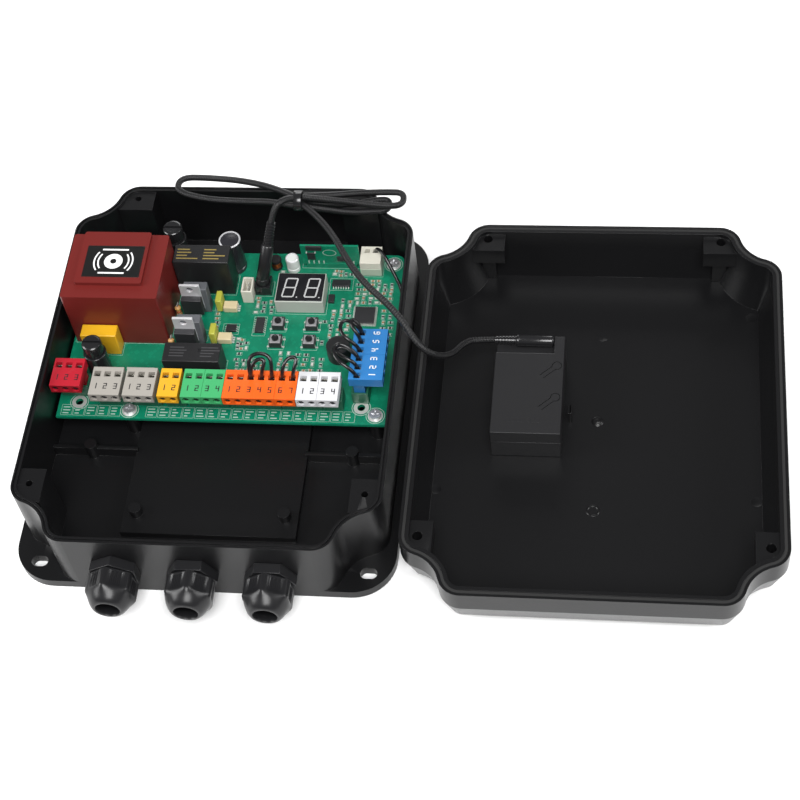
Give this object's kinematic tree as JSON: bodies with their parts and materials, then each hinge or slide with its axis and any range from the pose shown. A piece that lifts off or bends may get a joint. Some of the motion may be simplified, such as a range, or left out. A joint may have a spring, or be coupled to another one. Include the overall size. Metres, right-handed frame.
{
  "type": "automatic door control unit",
  "caption": "Wall-mounted electronic control box for an automatic door or gate, opened: circuit board with pluggable terminals and cable glands, lid beside it with a wireless module on a cable.",
  "frame": {"origin": "middle of the case's back plate, on the plane that it is screwed to", "axes": "+Z out of the wall towards the open face, +X towards the lid lying at its side, +Y away from the cable glands"},
  "size_m": [0.3552, 0.2348, 0.0614],
  "materials": {
    "case_plastic": "fine matt texture",
    "lid_plastic": "satin inside, fine matt outside",
    "gland_plastic": "satin",
    "seal_rubber": "matt",
    "board_laminate": "solder mask",
    "potting_case": "satin",
    "core_iron": "potted",
    "capacitor_yellow": "satin",
    "fuse_black": "gloss",
    "relay_black": "satin",
    "chip_black": "matt",
    "tab_metal": "tinned",
    "block_aluminium": "natural",
    "can_metal": "bright",
    "screw_steel": "zinc plated",
    "connector_white": "satin",
    "connector_black": "satin",
    "header_green": "satin",
    "plug_red_plastic": "satin",
    "plug_grey_plastic": "satin",
    "plug_yellow_plastic": "satin",
    "plug_green_plastic": "satin",
    "plug_orange_plastic": "satin",
    "plug_white_plastic": "satin",
    "plug_blue_plastic": "satin",
    "jumper_black": "gloss",
    "display_face": "gloss",
    "key_black": "matt",
    "module_black": "satin",
    "boot_black": "matt",
    "cable_braid": "braided",
    "wire_black": "satin"
  },
  "bodies": {
    "case": {"base_shell": "case_plastic", "gland_bodies": "gland_plastic", "gland_locknuts": "gland_plastic", "circuit_board": "board_laminate", "radio_board": "board_laminate", "board_screws": "screw_steel", "transformer_case": "potting_case", "transformer_core": "core_iron", "suppression_capacitor": "capacitor_yellow", "fuse_sockets": "fuse_black", "relay_front": "relay_black", "relay_rear": "relay_black", "triacs": "tab_metal", "heat_blocks": "block_aluminium", "optocouplers": "chip_black", "controller_chip": "chip_black", "logic_chips": "chip_black", "buzzer": "chip_black", "electrolytic_capacitors": "can_metal", "cable_socket": "connector_black", "sensor_connector": "connector_white", "antenna_connector": "connector_white", "digit_display": "display_face", "button_housings": "key_black", "terminal_headers": "header_green", "board_plug": "boot_black", "antenna_wire": "wire_black"},
    "gland_seal_1": {"seal_insert_1": "seal_rubber"},
    "gland_nut_1": {"dome_nut_1": "gland_plastic"},
    "gland_seal_2": {"seal_insert_2": "seal_rubber"},
    "gland_nut_2": {"dome_nut_2": "gland_plastic"},
    "gland_seal_3": {"seal_insert_3": "seal_rubber"},
    "gland_nut_3": {"dome_nut_3": "gland_plastic"},
    "fuse_front": {"fuse_cap_1": "fuse_black"},
    "fuse_rear": {"fuse_cap_2": "fuse_black"},
    "key_1": {"button_1": "key_black"},
    "key_2": {"button_2": "key_black"},
    "key_3": {"button_3": "key_black"},
    "key_4": {"button_4": "key_black"},
    "terminal_red": {"plug_red": "plug_red_plastic"},
    "terminal_grey_1": {"plug_grey_1": "plug_grey_plastic"},
    "terminal_grey_2": {"plug_grey_2": "plug_grey_plastic"},
    "terminal_yellow": {"plug_yellow": "plug_yellow_plastic"},
    "terminal_green": {"plug_green": "plug_green_plastic"},
    "terminal_orange": {"plug_orange": "plug_orange_plastic", "orange_jumpers": "jumper_black"},
    "terminal_white": {"plug_white": "plug_white_plastic"},
    "terminal_blue": {"plug_blue": "plug_blue_plastic", "blue_jumpers": "jumper_black"},
    "cable": {"cable_leg": "cable_braid", "cable_hank_left": "cable_braid", "cable_hank_right": "cable_braid", "cable_tail": "cable_braid", "cable_tie": "boot_black"},
    "lid": {"lid_shell": "lid_plastic", "lid_seal": "seal_rubber", "module_tub": "module_black", "module_cover": "module_black", "module_plug": "boot_black"}
  },
  "joints": [
    {"name": "lid_shift", "type": "slide", "parent": "case", "child": "cable", "axis": [0, 1, 0], "range_m": [0, 0.0133], "deforming": ["cable_leg", "cable_hank_left", "cable_hank_right", "cable_tail", "cable_tie"]},
    {"name": "lid_hinge", "type": "hinge", "parent": "cable", "child": "lid", "pos_m": [0.0896, 0, 0.03665], "axis": [0, -1, 0], "range_deg": [0, 180], "deforming": ["cable_leg", "cable_hank_left", "cable_hank_right", "cable_tail", "cable_tie", "orange_jumpers"]},
    {"name": "gland_1_screw", "type": "slide", "parent": "case", "child": "gland_seal_1", "axis": [0, -1, 0], "range_m": [0, 0.00225]},
    {"name": "gland_1_turn", "type": "hinge", "parent": "gland_seal_1", "child": "gland_nut_1", "pos_m": [-0.036, -0.118, 0.019], "axis": [0, -1, 0], "range_deg": [0, 540]},
    {"name": "gland_2_screw", "type": "slide", "parent": "case", "child": "gland_seal_2", "axis": [0, -1, 0], "range_m": [0, 0.00225]},
    {"name": "gland_2_turn", "type": "hinge", "parent": "gland_seal_2", "child": "gland_nut_2", "pos_m": [0, -0.118, 0.019], "axis": [0, -1, 0], "range_deg": [0, 540]},
    {"name": "gland_3_screw", "type": "slide", "parent": "case", "child": "gland_seal_3", "axis": [0, -1, 0], "range_m": [0, 0.00225]},
    {"name": "gland_3_turn", "type": "hinge", "parent": "gland_seal_3", "child": "gland_nut_3", "pos_m": [0.036, -0.118, 0.019], "axis": [0, -1, 0], "range_deg": [0, 540]},
    {"name": "fuse_front_turn", "type": "hinge", "parent": "case", "child": "fuse_front", "pos_m": [-0.063, 0.0035, 0.04], "axis": [0, 0, 1], "range_deg": [0, 90]},
    {"name": "fuse_rear_turn", "type": "hinge", "parent": "case", "child": "fuse_rear", "pos_m": [-0.0352, 0.0756, 0.04], "axis": [0, 0, 1], "range_deg": [0, 90]},
    {"name": "key_1_press", "type": "slide", "parent": "case", "child": "key_1", "axis": [0, 0, -1], "range_m": [0, 0.00025], "stiffness_N_per_m": 600, "springref_m": -0.0005},
    {"name": "key_2_press", "type": "slide", "parent": "case", "child": "key_2", "axis": [0, 0, -1], "range_m": [0, 0.00025], "stiffness_N_per_m": 600, "springref_m": -0.0005},
    {"name": "key_3_press", "type": "slide", "parent": "case", "child": "key_3", "axis": [0, 0, -1], "range_m": [0, 0.00025], "stiffness_N_per_m": 600, "springref_m": -0.0005},
    {"name": "key_4_press", "type": "slide", "parent": "case", "child": "key_4", "axis": [0, 0, -1], "range_m": [0, 0.00025], "stiffness_N_per_m": 600, "springref_m": -0.0005},
    {"name": "terminal_red_pull", "type": "slide", "parent": "case", "child": "terminal_red", "axis": [0, 0, 1], "range_m": [0, 0.01]},
    {"name": "terminal_grey_1_pull", "type": "slide", "parent": "case", "child": "terminal_grey_1", "axis": [0, 0, 1], "range_m": [0, 0.01]},
    {"name": "terminal_grey_2_pull", "type": "slide", "parent": "case", "child": "terminal_grey_2", "axis": [0, 0, 1], "range_m": [0, 0.01]},
    {"name": "terminal_yellow_pull", "type": "slide", "parent": "case", "child": "terminal_yellow", "axis": [0, 0, 1], "range_m": [0, 0.01]},
    {"name": "terminal_green_pull", "type": "slide", "parent": "case", "child": "terminal_green", "axis": [0, 0, 1], "range_m": [0, 0.01]},
    {"name": "terminal_orange_pull", "type": "slide", "parent": "case", "child": "terminal_orange", "axis": [0, 0, 1], "range_m": [0, 0.01]},
    {"name": "terminal_white_pull", "type": "slide", "parent": "case", "child": "terminal_white", "axis": [0, 0, 1], "range_m": [0, 0.01]},
    {"name": "terminal_blue_pull", "type": "slide", "parent": "case", "child": "terminal_blue", "axis": [0, 0, 1], "range_m": [0, 0.01]}
  ],
  "couplings": [
    {"joint": "lid_shift", "follows": "lid_hinge", "m_per_rad": 0.0042335},
    {"joint": "gland_1_screw", "follows": "gland_1_turn", "m_per_rad": 0.00023873},
    {"joint": "gland_2_screw", "follows": "gland_2_turn", "m_per_rad": 0.00023873},
    {"joint": "gland_3_screw", "follows": "gland_3_turn", "m_per_rad": 0.00023873}
  ]
}
